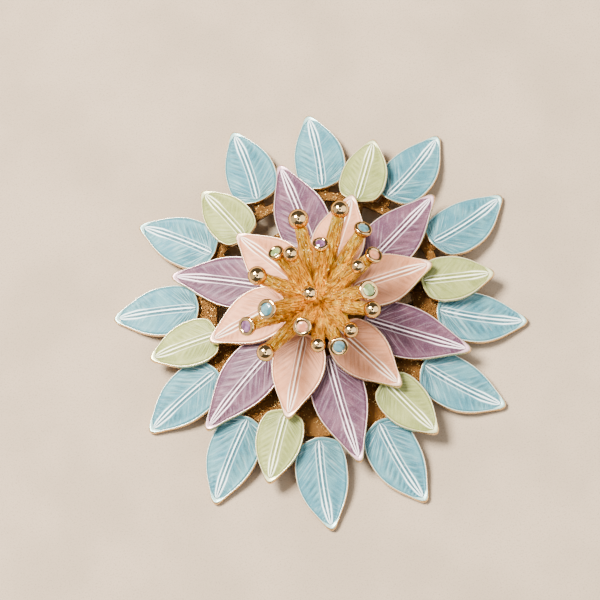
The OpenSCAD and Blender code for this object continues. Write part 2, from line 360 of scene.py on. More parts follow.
goldTones = {
    "rimWall": ((0.70, 0.45, 0.18), (0.90, 0.66, 0.36)),
    # the plate's gold is darkened far below its own colour: painted shade, as the plate lies in the petals'
    # shade
    "plate": ((0.066, 0.028, 0.007), (0.15, 0.068, 0.018)),
    "plateFlecks": (0.6, 0.40, 0.14),
    "bark": ((0.93, 0.585, 0.036), (0.60, 0.34, 0.010)),  # high, and low: the low colour is painted shade in the bark's dips
    "barkCleftShade": (0.34, 0.14, 0.006),
    "barkGlints": (1.0, 0.86, 0.25),
    "barkSparkleHighlights": (1.0, 0.92, 0.50),
    "polished": ((0.76, 0.48, 0.20), (0.86, 0.58, 0.28)),
    "mirrorEdge": (0.18, 0.09, 0.04),
    "pin": ((0.85, 0.62, 0.32), (0.95, 0.74, 0.44)),
}


def enamelMaterial(name, look):
    material, tree, shader = newMaterial(
        name, Metallic=look["metallic"], Coat_Weight=0.05, Coat_Roughness=0.25, Specular_IOR_Level=0.15)
    grain = useGroup(tree, fineGrain, Grain_size=0.16, Patch_size=2.6)
    footward = surfaceValue(tree, "footward")
    # Strokes along the veins: the pale strokes are a painted sheen, the dark strokes painted shade where
    # raking light would show the veins
    strokes = noiseValue(tree, surfaceValue(tree, "strokePlace", "Vector"), 1.0, 2.0)
    reach = plus(tree, times(tree, footward, 0.8), 0.2)  # strokes are strongest at the foot
    light = times(tree, times(tree, ramp(tree, strokes, 0.54, 0.66), reach), look["paintedSheen"])
    dark = times(tree, times(tree, ramp(tree, strokes, 0.48, 0.38), reach), 0.85)
    body = mixColour(tree, ramp(tree, grain["Patches"], 0.35, 0.65), look["body"], look["second"])
    layers = (
        (times(tree, footward, look["footShade"]), "deep"),
        (times(tree, surfaceValue(tree, "shade"), look["veinShade"]), "deep"),
        (dark, "deep"),
        (light, "pale"),
        (ramp(tree, grain["Grain"], 0.45, 0.8, 0.0, 0.07), "pale"),
        # pale rib lines and tip: partly the metal's own colour, partly a painted highlight
        (surfaceValue(tree, "pale"), "pale"),
    )
    for share, tone in layers:
        body = mixColour(tree, share, body, look[tone])
    roughness = ramp(tree, grain["Grain"], 0.2, 0.8, 0.5, 0.65)
    wire(tree, shader, Base_Color=body, Roughness=roughness, Normal=raised(tree, grain["Grain"], 0.012))
    return material


def rimMaterial(name, look):
    material, tree, shader = newMaterial(name, Specular_IOR_Level=0.3)
    grain = useGroup(tree, fineGrain, Grain_size=0.3, Patch_size=3.0)
    crest = surfaceValue(tree, "crest")
    covered = surfaceValue(tree, "covered")
    worn = larger(tree, covered, ramp(tree, grain["Patches"], 0.52, 0.68, 0.0, 0.35))
    tint = mixColour(tree, worn, look["rim"], look["second"])
    tint = mixColour(tree, surfaceValue(tree, "tipward"), tint, look["tipTint"])
    wall = mixColour(tree, grain["Patches"], *goldTones["rimWall"])
    bareMetal = less(tree, 1.0, times(tree, crest, 0.5))
    metallic = less(tree, bareMetal, times(tree, times(tree, crest, covered), 0.4))
    roughness = ramp(tree, grain["Grain"], 0.2, 0.8, 0.2, 0.36)
    wire(tree, shader, Base_Color=mixColour(tree, crest, wall, tint), Metallic=metallic)
    wire(tree, shader, Roughness=roughness, Normal=raised(tree, grain["Grain"], 0.015))
    return material


def plateMaterial():
    material, tree, shader = newMaterial("castPlateGold", Metallic=1.0)
    glitter = useGroup(tree, castGlitter, Fleck_size=0.13, Coverage=0.03)
    patches = useGroup(tree, fineGrain, Grain_size=0.4, Patch_size=2.2)["Patches"]
    # The dark plate gold is a painted shade over the gold's own colour
    base = mixColour(tree, patches, *goldTones["plate"])
    base = mixColour(tree, glitter["Flecks"], base, goldTones["plateFlecks"])
    roughness = ramp(tree, glitter["Flecks"], 0.0, 1.0, 0.36, 0.28)
    wire(tree, shader, Base_Color=base, Roughness=roughness, Normal=raised(tree, glitter["Height"], 0.12))
    return material


def barkMaterial():
    material, tree, shader = newMaterial("barkGold", Metallic=0.9)
    place = surfaceValue(tree, "barkPlace", "Vector")
    drawn = {0: place, 1: (1.0, 1.0, 0.45)}  # fibres are longer along the stem
    fibrePlace = addNode(tree, "ShaderNodeVectorMath", drawn, operation="MULTIPLY").outputs[0]
    fibres = noiseValue(tree, fibrePlace, 5.5, 3.0, Roughness=0.55, Distortion=0.5)
    flecks = useGroup(tree, castGlitter, Fleck_size=0.2, Coverage=0.06)["Flecks"]
    # Painted shade: the bark is darker where it dips
    base = mixColour(tree, surfaceValue(tree, "barkLow"), *goldTones["bark"])
    # Painted shade in the clefts between the fibres
    base = mixColour(tree, ramp(tree, fibres, 0.43, 0.52), goldTones["barkCleftShade"], base)
    base = mixColour(tree, ramp(tree, fibres, 0.56, 0.66), base, goldTones["barkGlints"])
    # Painted highlights: small sparkles on the bark
    base = mixColour(tree, flecks, base, goldTones["barkSparkleHighlights"])
    roughness = less(tree, ramp(tree, fibres, 0.3, 0.7, 0.44, 0.26), times(tree, flecks, 0.12))
    wire(tree, shader, Base_Color=base, Roughness=roughness, Normal=raised(tree, fibres, 0.2))
    return material


def polishedMaterial():
    material, tree, shader = newMaterial("polishedGold", Metallic=1.0, Specular_Tint=goldTones["mirrorEdge"])
    grain = useGroup(tree, fineGrain, Grain_size=0.6, Patch_size=1.6)
    base = mixColour(tree, grain["Patches"], *goldTones["polished"])
    wire(tree, shader, Base_Color=base, Roughness=ramp(tree, grain["Grain"], 0.2, 0.8, 0.05, 0.12))
    return material


def pinMaterial():
    material, tree, shader = newMaterial("satinPinGold", Metallic=1.0)
    grain = useGroup(tree, fineGrain, Grain_size=0.15, Patch_size=2.5)
    base = mixColour(tree, grain["Patches"], *goldTones["pin"])
    roughness = ramp(tree, grain["Grain"], 0.2, 0.8, 0.22, 0.42)
    wire(tree, shader, Base_Color=base, Roughness=roughness, Normal=raised(tree, grain["Grain"], 0.01))
    return material


def stoneMaterial(name, body, glow):
    material, tree, shader = newMaterial(
        name, Transmission_Weight=0.25, IOR=1.6, Coat_Weight=0.6, Coat_Roughness=0.05)
    grain = useGroup(tree, fineGrain, Grain_size=0.35, Patch_size=1.0)
    milk = mixColour(tree, ramp(tree, grain["Patches"], 0.35, 0.65), body, glow)
    wire(tree, shader, Base_Color=milk, Roughness=ramp(tree, grain["Grain"], 0.2, 0.8, 0.08, 0.2))
    return material


# Petals: sizes in millimetres, heights over the table
# The outlines go from foot to tip: share of the length, share of the half width

fullLeaf = [
    (0, 0.44), (0.07, 0.72), (0.2, 0.94), (0.38, 1), (0.56, 0.92),
    (0.72, 0.7), (0.85, 0.43), (0.94, 0.24), (1, 0.11),
]
slimLeaf = [
    (0, 0.42), (0.07, 0.7), (0.2, 0.93), (0.37, 1), (0.54, 0.9),
    (0.7, 0.65), (0.84, 0.38), (0.94, 0.21), (1, 0.1),
]

petalRings = {
    "blue": {
        "layer": "outer_layer", "outline": fullLeaf, "length": 13.8, "width": 8.0,
        "foot": 4.4, "tip": 0.93, "carrierTop": 3.6,  # heights: of the petal's ends and of what carries it
        "fold": 0.06, "bow": -0.3, "sway": 0.4,       # slope of the halves, rise and bend of the middle line
        "veinDepth": 0.1, "veinReach": 0.9,           # the reach is a share of a half's width
        "rimFade": 4.2,                               # over this the enamel's colour leaves the rim
        "metallic": 0.12, "paintedSheen": 0.42, "veinShade": 0.7, "footShade": 0.3,  # the strokes' share of pale, a painted sheen
        "rim": (0.78, 0.80, 0.68), "tipTint": (0.34, 0.55, 0.52),
        "body": (0.044, 0.17, 0.215), "second": (0.086, 0.23, 0.26),
        "deep": (0.014, 0.055, 0.07), "pale": (0.80, 0.94, 0.96),
    },
    "green": {
        "layer": "outer_layer", "outline": fullLeaf, "length": 11.3, "width": 7.2,
        "foot": 6.0, "tip": 3.8, "carrierTop": 3.6, "fold": 0.06, "bow": 0.2, "sway": 0.1,
        "veinDepth": 0.05, "veinReach": 0.9, "rimFade": 2.4,
        "metallic": 0.08, "paintedSheen": 0.2, "veinShade": 0.5, "footShade": 0.3,
        "rim": (0.84, 0.79, 0.52), "tipTint": (0.58, 0.60, 0.34),
        "body": (0.205, 0.23, 0.062), "second": (0.27, 0.29, 0.095),
        "deep": (0.08, 0.095, 0.015), "pale": (0.94, 0.96, 0.72),
    },
    "lilac": {
        "layer": "lilac_layer", "outline": slimLeaf, "length": 16.7, "width": 8.4,
        "foot": 7.4, "tip": 4.4, "carrierTop": 6.85, "fold": 0.05, "bow": 0.3, "sway": 0.2,
        "veinDepth": 0.1, "veinReach": 0.9, "rimFade": 3.0,
        "metallic": 0.08, "paintedSheen": 0.35, "veinShade": 0.7, "footShade": 0.5,
        "rim": (0.88, 0.68, 0.66), "tipTint": (0.58, 0.36, 0.42),
        "body": (0.080, 0.030, 0.056), "second": (0.130, 0.055, 0.083),
        "deep": (0.03, 0.008, 0.014), "pale": (0.96, 0.80, 0.87),
    },
    "peach": {
        "layer": "peach_layer", "outline": slimLeaf, "length": 13.0, "width": 8.2,
        "foot": 9.6, "tip": 7.4, "carrierTop": 9.05, "fold": 0.1, "bow": 0.2, "sway": 0.0,
        "veinDepth": 0.035, "veinReach": 0.8, "rimFade": 2.0,
        "metallic": 0.06, "paintedSheen": 0.15, "veinShade": 0.5, "footShade": 0.45,
        "rim": (0.90, 0.72, 0.54), "tipTint": (0.72, 0.48, 0.36),
        "body": (0.50, 0.195, 0.092), "second": (0.60, 0.26, 0.14),
        "deep": (0.12, 0.04, 0.012), "pale": (0.97, 0.82, 0.70),
    },
}

petalCast = {
    "thickness": 0.9,
    "rim": 0.35,          # width of the bare gold rim
    "footRound": 0.9,     # how far the rounding of the foot and of the tip reaches
    "tipRound": 0.45,
    "cellFoot": 0.5,      # the cell stops this far from the foot and from the tip
    "cellTip": 0.8,
    "cellRound": 1.2,
    "foldRound": 0.3,     # the fold along the middle is this soft
    "steps": 64,
    "fadeFrom": 1.3,      # over 1, so the rim is wholly hidden at first
    "tipFrom": 0.88,      # the tip's own tint starts at this share of the length
    "tipReach": 0.05,
    "smoothBelow": 50,    # degrees
    # From the underside over the rim to the cell's floor: way from the outer to the cell's edge,
    # height over the face, 1 where the gold is the pale crest, 1 where enamel covers it
    "profile": [
        (0.75, -0.90, 0, 0), (0.20, -0.88, 0, 0), (0.04, -0.76, 0, 0), (0.0, -0.60, 0, 0),
        (0.0, -0.16, 0, 0), (0.08, -0.05, 0, 0), (0.22, 0.015, 0.4, 0), (0.34, 0.035, 1, 0),
        (0.46, 0.025, 1, 0.2), (0.58, 0.0, 1, 1), (0.76, -0.03, 1, 1), (0.97, -0.085, 1, 1),
        (1.0, -0.42, 0, 0),
    ],
}

enamelFill = {
    "inset": 0.37,
    "footCut": 0.54,
    "tipCut": 0.84,
    "sunk": 0.05,         # under the petal's face, at the rim and along the ribs
    "floor": 0.40,
    "rows": 150,
    "crowding": 0.5,      # rows stand closer at the foot and at the tip
    "fan": 0.4,           # this share of the edge is reached by veins that fan out of the foot
    "fanSoftness": 0.03,
    "ribs": 0.70,         # from the middle line to each side rib, where the petal is wide
    "ribFullAt": 2.4,     # that is where a half is this wide; the ribs close up as it narrows
    "ribClosing": 0.7,
    "ribFootRound": 2.0,
    "ribShare": 0.7,      # the ribs take no more than this share of a half
    "ribRounds": 5,       # steps to find where each rib point lies
    "ribSteps": [0, 0.07, 0.13, 0.2, 0.28, 0.44, 0.6, 0.7, 0.8, 0.9, 1.0, 1.16, 1.36],
    "pastRibs": 2.0,      # the rib value of everything beside the ribs
    "laminaSteps": 11,
    "veins": 21,
    "waviness": 0.9,
    "wavesPerMetre": 500.0,
    "patchesPerMetre": 220.0,
    "seedStep": 3.7,
    "ribHeight": 0.11,
    "trough": 0.14,       # the halves slope down to the rim by this much
    "footReach": 2.2,     # the foot's shade ends at the length divided by this
    "tipFrom": 0.55,      # shares of the length
    "tipReach": 0.4,
    "easing": 1.5,
    # Across the midrib: distance in side-rib distances, height from 0, a groove, to 1, the middle rib
    "ribProfile": [
        (0, 1), (0.15, 0.92), (0.28, 0.2), (0.6, 0.15), (0.74, 0.58),
        (0.85, 0.78), (0.95, 0.66), (1.2, 0.5), (1.6, 0.5),
    ],
}

cadCell = {"footCut": 0.55, "tipCut": 0.88, "stationPoints": 10}  # of the CAD enamel's first and last station


def curveThrough(rows):
    xs, ys = (np.array(column, float) for column in zip(*rows))
    slopes = np.gradient(ys, xs)

    def heightAt(x):
        x = np.clip(np.asarray(x, float), xs[0], xs[-1])
        i = np.clip(np.searchsorted(xs, x) - 1, 0, len(xs) - 2)
        step = xs[i + 1] - xs[i]
        t = (x - xs[i]) / step
        start = (2 * t**3 - 3 * t**2 + 1) * ys[i] + (t**3 - 2 * t**2 + t) * step * slopes[i]
        return start + (3 * t**2 - 2 * t**3) * ys[i + 1] + (t**3 - t**2) * step * slopes[i + 1]

    return heightAt


def roundEnd(distance, reach):
    t = 1 - np.clip(distance / reach, 0, 1)
    return np.sqrt(np.maximum(1 - t * t, 0))


def halfWidth(ring, x, inset, footCut, tipCut, footRound, tipRound):
    wide = ring["width"] / 2 * curveThrough(ring["outline"])(x / ring["length"]) - inset
    return wide * roundEnd(x - footCut, footRound) * roundEnd(ring["length"] - tipCut - x, tipRound)


def swayAt(ring, x):
    s = x / ring["length"]
    return -ring["sway"] * 4 * s * (1 - s)


def faceHeight(ring, x, across):
    s = x / ring["length"]
    spine = ring["foot"] + (ring["tip"] - ring["foot"]) * s + ring["bow"] * 4 * s * (1 - s)
    soft = petalCast["foldRound"]
    return spine - ring["fold"] * (np.sqrt(across**2 + soft**2) - soft)


def petalPlace(ring, node):
    corners = np.array([vertex.co for vertex in node.data.vertices]) / mm
    plan = np.unique(corners.round(3), axis=0)[:, :2]
    middle = plan.mean(axis=0)
    way = np.linalg.svd(plan - middle)[2][0]
    way = way if way @ middle > 0 else -way
    inOrder = plan[np.argsort(plan @ way)]
    foot = inOrder[:cadCell["stationPoints"]].mean(axis=0)
    tip = inOrder[-cadCell["stationPoints"]:].mean(axis=0)
    footX = cadCell["footCut"]
    tipX = ring["length"] - cadCell["tipCut"]
    ownWay = math.atan2(swayAt(ring, tipX) - swayAt(ring, footX), tipX - footX)
    turn = math.atan2(*(tip - foot)[::-1]) - ownWay
    spin = np.array([[math.cos(turn), -math.sin(turn)], [math.sin(turn), math.cos(turn)]])
    return spin, foot - spin @ np.array([footX, swayAt(ring, footX)])


def toPlace(place, x, y, z):
    spin, origin = place
    plan = np.stack([x, y], axis=-1) @ spin.T + origin
    return np.concatenate([plan, np.asarray(z)[..., None]], axis=-1)


def leafLoop(ring, steps, inset, footCut, tipCut, footRound, tipRound):
    along = (1 - np.cos(np.linspace(0, math.pi, steps + 1))) / 2
    x = footCut + (ring["length"] - footCut - tipCut) * along
    wide = halfWidth(ring, x, inset, footCut, tipCut, footRound, tipRound)
    x = np.concatenate([x, x[-2:0:-1]])
    across = np.concatenate([wide, -wide[-2:0:-1]])
    return x, across


def castPetal(ring, place):
    cast = petalCast
    steps = cast["steps"]
    count = 2 * steps
    outerX, outerY = leafLoop(ring, steps, 0, 0, 0, cast["footRound"], cast["tipRound"])
    cellX, cellY = leafLoop(
        ring, steps, cast["rim"], cast["cellFoot"], cast["cellTip"], cast["cellRound"], cast["cellRound"])
    points = []
    floats = {"crest": [], "covered": [], "tipward": []}
    for blend, height, pale, enamelled in cast["profile"]:
        x = outerX + (cellX - outerX) * blend
        across = outerY + (cellY - outerY) * blend
        z = faceHeight(ring, x, across) + height
        points.append(toPlace(place, x, across + swayAt(ring, x), z))
        fade = np.clip(cast["fadeFrom"] - x / ring["rimFade"], 0, 1)
        tipward = np.clip((x / ring["length"] - cast["tipFrom"]) / cast["tipReach"], 0, 1)
        floats["crest"] += [pale] * count
        floats["covered"] += np.maximum(fade, enamelled).tolist()
        floats["tipward"] += tipward.tolist()
    faces = loopFaces(len(points), count)
    for loop in (0, len(points) - 1):  # the underside and the cell's floor, closed along a middle line
        blend, depth = cast["profile"][loop][:2]
        x = (outerX + (cellX - outerX) * blend)[:steps + 1]
        start = sum(len(p) for p in points)
        points.append(toPlace(place, x, swayAt(ring, x), faceHeight(ring, x, 0 * x) + depth))
        for values in floats.values():
            values += [0] * (steps + 1)
        for i in range(steps):
            right, left = loop * count + i, loop * count + (count - i) % count
            nextLeft = loop * count + count - i - 1
            faces.append((start + i, start + i + 1, right + 1, right))
            faces.append((start + i, left, nextLeft, start + i + 1))
    return np.concatenate(points), faces, floats


def castRing(name, ring, places, material):
    points, faces, floats = [], [], {}
    for place in places:
        morePoints, moreFaces, moreFloats = castPetal(ring, place)
        start = sum(len(p) for p in points)
        points.append(morePoints)
        faces += [tuple(start + i for i in face) for face in moreFaces]
        for key, values in moreFloats.items():
            floats[key] = floats.get(key, []) + values
    piece = makePiece(name, np.concatenate(points), faces, material, floats=floats)
    closeUp(piece, petalCast["smoothBelow"])
    return piece


def ribDistance(ring, x):
    fill = enamelFill
    full = fill["ribFullAt"]
    wide = halfWidth(
        ring, x, fill["inset"], fill["footCut"], fill["tipCut"], fill["ribFootRound"], petalCast["cellRound"])
    return fill["ribs"] * (np.clip(wide, 0, full) / full) ** fill["ribClosing"]


def fanned(share):
    late = (share - enamelFill["fan"]) / (1 - enamelFill["fan"])
    soft = (late + np.sqrt(late * late + enamelFill["fanSoftness"])) / 2
    return (soft - soft[0]) / (soft[-1] - soft[0])


def enamelColumns(ring, edgeX, midX):
    fill = enamelFill
    cellRound = petalCast["cellRound"]
    edgeY = halfWidth(ring, edgeX, fill["inset"], fill["footCut"], fill["tipCut"], cellRound, cellRound)
    safeY = np.maximum(edgeY, 1e-6)
    columns = []  # x, y, rib and lamina of each, from the middle line to the edge
    for step in fill["ribSteps"]:
        x = midX
        most = edgeY * fill["ribShare"] * step / fill["ribSteps"][-1]
        for _ in range(fill["ribRounds"]):
            y = np.minimum(step * ribDistance(ring, x), most)
            x = midX + (edgeX - midX) * y / safeY
        columns.append((x, y, step, 0))
    for k in range(1, fill["laminaSteps"] + 1):
        share = k / fill["laminaSteps"]
        columns.append((x + (edgeX - x) * share, y + (edgeY - y) * share, fill["pastRibs"], share))
    return columns


def enamelFaces(columns, rows):
    line = rows + 1
    faces = [
        (c * line + r, (c + 1) * line + r, (c + 1) * line + r + 1, c * line + r + 1)
        for c in range(columns - 1) for r in range(rows)
    ]
    low = columns * line  # the underside follows the top: one edge, its middle line and its other edge
    middle, end = low + line, low + 2 * line
    for first, second in ((0, low), (low - line, end), (low, middle), (middle, end)):
        faces += [(first + r, first + r + 1, second + r + 1, second + r) for r in range(rows)]
    return faces


def enamelGrid(ring, place):
    fill = enamelFill
    rows = fill["rows"]
    even = np.linspace(0, 1, rows + 1)
    edgeShare = even - fill["crowding"] * np.sin(fullTurn * even) / fullTurn
    span = ring["length"] - fill["footCut"] - fill["tipCut"]
    edgeX = fill["footCut"] + span * edgeShare
    half = enamelColumns(ring, edgeX, fill["footCut"] + span * fanned(edgeShare))
    both = [(x, -y, rib, lamina) for x, y, rib, lamina in half[:0:-1]] + half
    x, y, rib, lamina = (
        np.array([np.broadcast_to(part, rows + 1) for part in parts]) for parts in zip(*both))
    z = faceHeight(ring, x, y) - fill["sunk"]
    points = [toPlace(place, x, y + swayAt(ring, x), z).reshape(-1, 3)]
    for c in (0, len(x) // 2, -1):
        points.append(toPlace(place, x[c], y[c] + swayAt(ring, x[c]), z[c] - fill["floor"]))
    share = x / ring["length"]
    marks = {  # the values over the top, and the one value of the underside
        "rib": (rib, fill["pastRibs"]),
        "lamina": (lamina, 1.0),
        "phase": (np.broadcast_to(even * fill["veins"], x.shape), 0.0),
        "footward": (np.clip(1 - share * fill["footReach"], 0, 1) ** fill["easing"], 0.0),
        "tipward": (np.clip((share - fill["tipFrom"]) / fill["tipReach"], 0, 1) ** fill["easing"], 0.0),
    }
    extra = 3 * (rows + 1)
    floats = {key: np.append(values, np.full(extra, below)) for key, (values, below) in marks.items()}
    return np.concatenate(points), enamelFaces(len(x), rows), floats


def ribShape(tree, rib):
    profile = enamelFill["ribProfile"]
    width = profile[-1][0]
    node = addNode(tree, "ShaderNodeFloatCurve", {"Value": calc(tree, "DIVIDE", rib, width)})
    points = node.mapping.curves[0].points
    for _ in range(len(profile) - 2):
        points.new(0.5, 0.5)
    for point, (distance, height) in zip(points, profile):
        point.location = (distance / width, height)
    node.mapping.update()
    return node.outputs[0]


def veinShape(tree, inside, phase, lamina):
    place = addNode(tree, "GeometryNodeInputPosition").outputs[0]
    waves = noiseValue(tree, place, enamelFill["wavesPerMetre"], 1.0, W=inside["Seed"])
    patches = noiseValue(tree, place, enamelFill["patchesPerMetre"], 1.0, W=inside["Seed"])
    bent = plus(tree, phase, times(tree, waves, inside["Waviness"]))
    wave = calc(tree, "COSINE", times(tree, bent, fullTurn))
    groove = calc(tree, "POWER", ramp(tree, wave, -1.0, 1.0), 1.4)
    fadeIn = ramp(tree, lamina, 0.0, 0.06)
    fadeOut = ramp(tree, lamina, times(tree, inside["Vein reach"], 0.5), inside["Vein reach"], 1.0, 0.0)
    strength = times(tree, times(tree, fadeIn, fadeOut), ramp(tree, patches, 0.36, 0.62, 0.1, 1.0))
    return times(tree, groove, strength)


def reliefTree():
    tree, inside, out = geometryGroup("petalRelief", {
        "Rib height": 0.00013, "Vein depth": 0.00007, "Vein reach": 0.9,
        "Trough depth": 0.00014, "Waviness": 0.5, "Seed": 0.0,
    })
    rib, lamina, phase, tipward = readAttributes(tree, "rib", "lamina", "phase", "tipward")
    ribLevel = ribShape(tree, rib)
    vein = veinShape(tree, inside, phase, lamina)
    ribLift = times(tree, times(tree, less(tree, ribLevel, 0.5), 2.0), inside["Rib height"])
    dish = times(tree, lamina, ramp(tree, lamina, 0.75, 1.0, 1.0, 0.0))
    lift = less(tree, ribLift, times(tree, dish, inside["Trough depth"]))
    lift = less(tree, lift, times(tree, vein, inside["Vein depth"]))
    moved = shiftBy(tree, inside["Geometry"], asVector(tree, z=lift))

    trench = times(tree, ramp(tree, ribLevel, 0.45, 0.12), 0.9)
    shade = larger(tree, times(tree, vein, 0.65), trench)
    widen = times(tree, tipward, ramp(tree, rib, 1.0, 1.3, 0.66, 0.08))  # the ribs meet at the tip
    # The rib lines and the tip are made pale: partly the pale metal under the thin enamel, partly a painted
    # highlight
    lines = ramp(tree, plus(tree, ribLevel, widen), 0.62, 0.9)
    pale = larger(tree, lines, ramp(tree, tipward, 0.9, 1.0, 0.0, 0.7))
    strokePlace = asVector(tree, times(tree, phase, 3.0), lamina, inside["Seed"])
    marked = storeAttribute(tree, moved, "shade", shade)
    marked = storeAttribute(tree, marked, "pale", pale)
    marked = storeAttribute(tree, marked, "strokePlace", strokePlace, "FLOAT_VECTOR")
    return closeTree(tree, smoothed(tree, marked), inside, out)


petalRelief = reliefTree()


def fillPetal(name, ring, place, material, seed):
    points, faces, floats = enamelGrid(ring, place)
    piece = makePiece(name, points, faces, floats=floats)
    closeUp(piece)
    return runNodes(piece, petalRelief, {
        "Rib height": enamelFill["ribHeight"] * mm,
        "Vein depth": ring["veinDepth"] * mm,
        "Vein reach": ring["veinReach"],
        "Trough depth": enamelFill["trough"] * mm,
        "Waviness": enamelFill["waviness"],
        "Seed": enamelFill["seedStep"] * seed,
        "Material": material,
    })


# Necks that carry the petals, and hubs and the plate that carry the necks

neckBar = {
    "out": 1.5,           # the neck meets the underside this far from the petal's foot
    "back": 1.9,          # and runs this far back to its carrier
    "rooted": 1.0,        # both its ends are longer by this
    "sunk": 0.4,          # its root lies this far under the carrier's top
    "width": 1.8, "thickness": 0.45, "sides": 12, "steps": 14,
}


def neckTree():
    tree, inside, out = geometryGroup(
        "neckBars", {"Bar width": 0.0018, "Bar thickness": 0.00045, "Sides": 12, "Steps": 14})
    paths = addNode(tree, "GeometryNodeMeshToCurve", {"Mesh": inside["Geometry"]}).outputs[0]
    bent = addNode(tree, "GeometryNodeCurveSplineType", {"Curve": paths}, spline_type="NURBS").outputs[0]
    even = addNode(tree, "GeometryNodeResampleCurve", {"Curve": bent, "Count": inside["Steps"]}).outputs[0]
    flat = addNode(tree, "GeometryNodeSetCurveNormal", {"Curve": even}, mode="Z_UP").outputs[0]
    circle = {"Resolution": inside["Sides"], "Radius": 0.5}
    ring = addNode(tree, "GeometryNodeCurvePrimitiveCircle", circle).outputs[0]
    size = asVector(tree, inside["Bar width"], inside["Bar thickness"], 1.0)
    section = addNode(tree, "GeometryNodeTransform", {"Geometry": ring, "Scale": size}).outputs[0]
    swept = {"Curve": flat, "Profile Curve": section, "Fill Caps": True}
    bars = addNode(tree, "GeometryNodeCurveToMesh", swept).outputs[0]
    return closeTree(tree, smoothed(tree, bars), inside, out)


neckBars = neckTree()


def neckRoute(ring):
    out, back, rooted = (neckBar[key] for key in ("out", "back", "rooted"))
    low = ring["carrierTop"] - neckBar["sunk"]
    high, end = (float(faceHeight(ring, x, 0.0)) - petalCast["thickness"] for x in (out, out + rooted))
    bend = (out - back / 2, (low + 2 * high) / 3)
    return [(out - back - rooted, low), bend, (out, high), (out + rooted, end)]


def makeNecks(name, ring, places, material):
    bar = neckBar
    route = neckRoute(ring)
    points, edges = [], []
    for place in places:
        start = len(points)
        points += [toPlace(place, x, 0.0, z) for x, z in route]
        edges += [(start + k, start + k + 1) for k in range(len(route) - 1)]
    piece = makePiece(name, points, [], edges=edges)
    return runNodes(piece, neckBars, {
        "Bar width": bar["width"] * mm, "Bar thickness": bar["thickness"] * mm,
        "Sides": bar["sides"], "Steps": bar["steps"], "Material": material,
    })


def latheSolid(name, profile, material, sides=96):
    points = [(*around(radius, fullTurn * k / sides), z) for radius, z in profile for k in range(sides)]
    piece = makePiece(name, points, loopFaces(len(profile), sides, closed=True), material)
    closeUp(piece, smoothBelow=35)
    return piece


hubSizes = {  # radii; heights of the boss's underside, the disc's two faces and the boss's top
    "lilac": {"boss": 5.0, "disc": 8.9, "heights": (3.65, 6.2, 6.85, 7.4)},
    "peach": {"boss": 3.6, "disc": 5.9, "heights": (7.45, 8.4, 9.05, 9.6)},
}
postHole = 1.6   # radius of the bore for the post
softEdge = 0.12  # edges are bevelled by this


def makeHub(name, hub, material):
    e = softEdge
    boss, disc = hub["boss"], hub["disc"]
    bossLow, discLow, discTop, bossTop = hub["heights"]
    profile = [
        (postHole, bossLow), (boss - e, bossLow), (boss, bossLow + e),
        (boss, discLow - e), (boss + e, discLow), (disc - e, discLow), (disc, discLow + e),
        (disc, discTop - e), (disc - e, discTop), (boss + e, discTop), (boss, discTop + e),
        (boss, bossTop - e), (boss - e, bossTop), (postHole, bossTop),
    ]
    return latheSolid(name, profile, material)


backPlate = {
    "radius": 19.6, "low": 2.8, "thickness": 0.6, "sides": 120, "holeSides": 32,
    "windowAngle": 20, "corner": 0.5, "cornerSteps": 5, "arcSteps": 8,
    "windows": [  # place in degrees, inner radius, outer radius
        (15, 14.8, 18.2), (45, 14.8, 18.2), (75, 14.8, 18.2), (105, 14.8, 18.2), (135, 14.8, 18.2),
        (169, 12.6, 16.2), (348, 10.6, 14),
    ],
}


def addSpline(curve, points):
    spline = curve.splines.new("POLY")
    spline.points.add(len(points) - 1)
    for point, (x, y) in zip(spline.points, points):
        point.co = (x * mm, y * mm, 0, 1)
    spline.use_cyclic_u = True


def circlePoints(radius, count):
    return [around(radius, fullTurn * k / count) for k in range(count)]


def windowPoints(place, inner, outer):
    plate = backPlate
    half, corner = plate["windowAngle"] / 2, plate["corner"]
    points = []
    for radius, side, turnFrom in ((outer, 1, 0), (inner, 1, 90), (inner, -1, 180), (outer, -1, 270)):
        inward = -1 if radius == outer else 1
        middleRadius = radius + inward * corner
        middleAngle = math.radians(place + side * half) - side * corner / middleRadius
        middle = around(middleRadius, middleAngle)
        for k in range(plate["cornerSteps"] + 1):
            turn = middleAngle + math.radians(turnFrom + 90 * k / plate["cornerSteps"])
            x, y = around(corner, turn)
            points.append((middle[0] + x, middle[1] + y))
        if turnFrom in (90, 270):  # the inner or the outer arc follows this corner
            step = -side * 2 * half / plate["arcSteps"]
            for k in range(1, plate["arcSteps"]):
                points.append(around(radius, math.radians(place + side * half + step * k)))
    return points


def makePlate(name, material):
    plate = backPlate
    curve = bpy.data.curves.new(name, "CURVE")
    curve.dimensions = "2D"
    curve.fill_mode = "BOTH"
    curve.bevel_depth = softEdge * mm
    curve.offset = -softEdge * mm
    curve.extrude = (plate["thickness"] / 2 - softEdge) * mm
    curve.bevel_resolution = 1
    addSpline(curve, circlePoints(plate["radius"], plate["sides"]))
    addSpline(curve, circlePoints(postHole, plate["holeSides"]))
    for window in plate["windows"]:
        addSpline(curve, windowPoints(*window))
    flat = addObject("flatPlate", curve)
    mesh = bpy.data.meshes.new_from_object(flat.evaluated_get(bpy.context.evaluated_depsgraph_get()))
    bpy.data.objects.remove(flat)
    mesh.transform(Matrix.Translation((0, 0, (plate["low"] + plate["thickness"] / 2) * mm)))
    mesh.materials.clear()
    mesh.materials.append(material)
    piece = addObject(name, mesh)
    closeUp(piece, smoothBelow=35)
    return piece


def nodesNamed(start):
    return sorted(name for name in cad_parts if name.startswith(start))


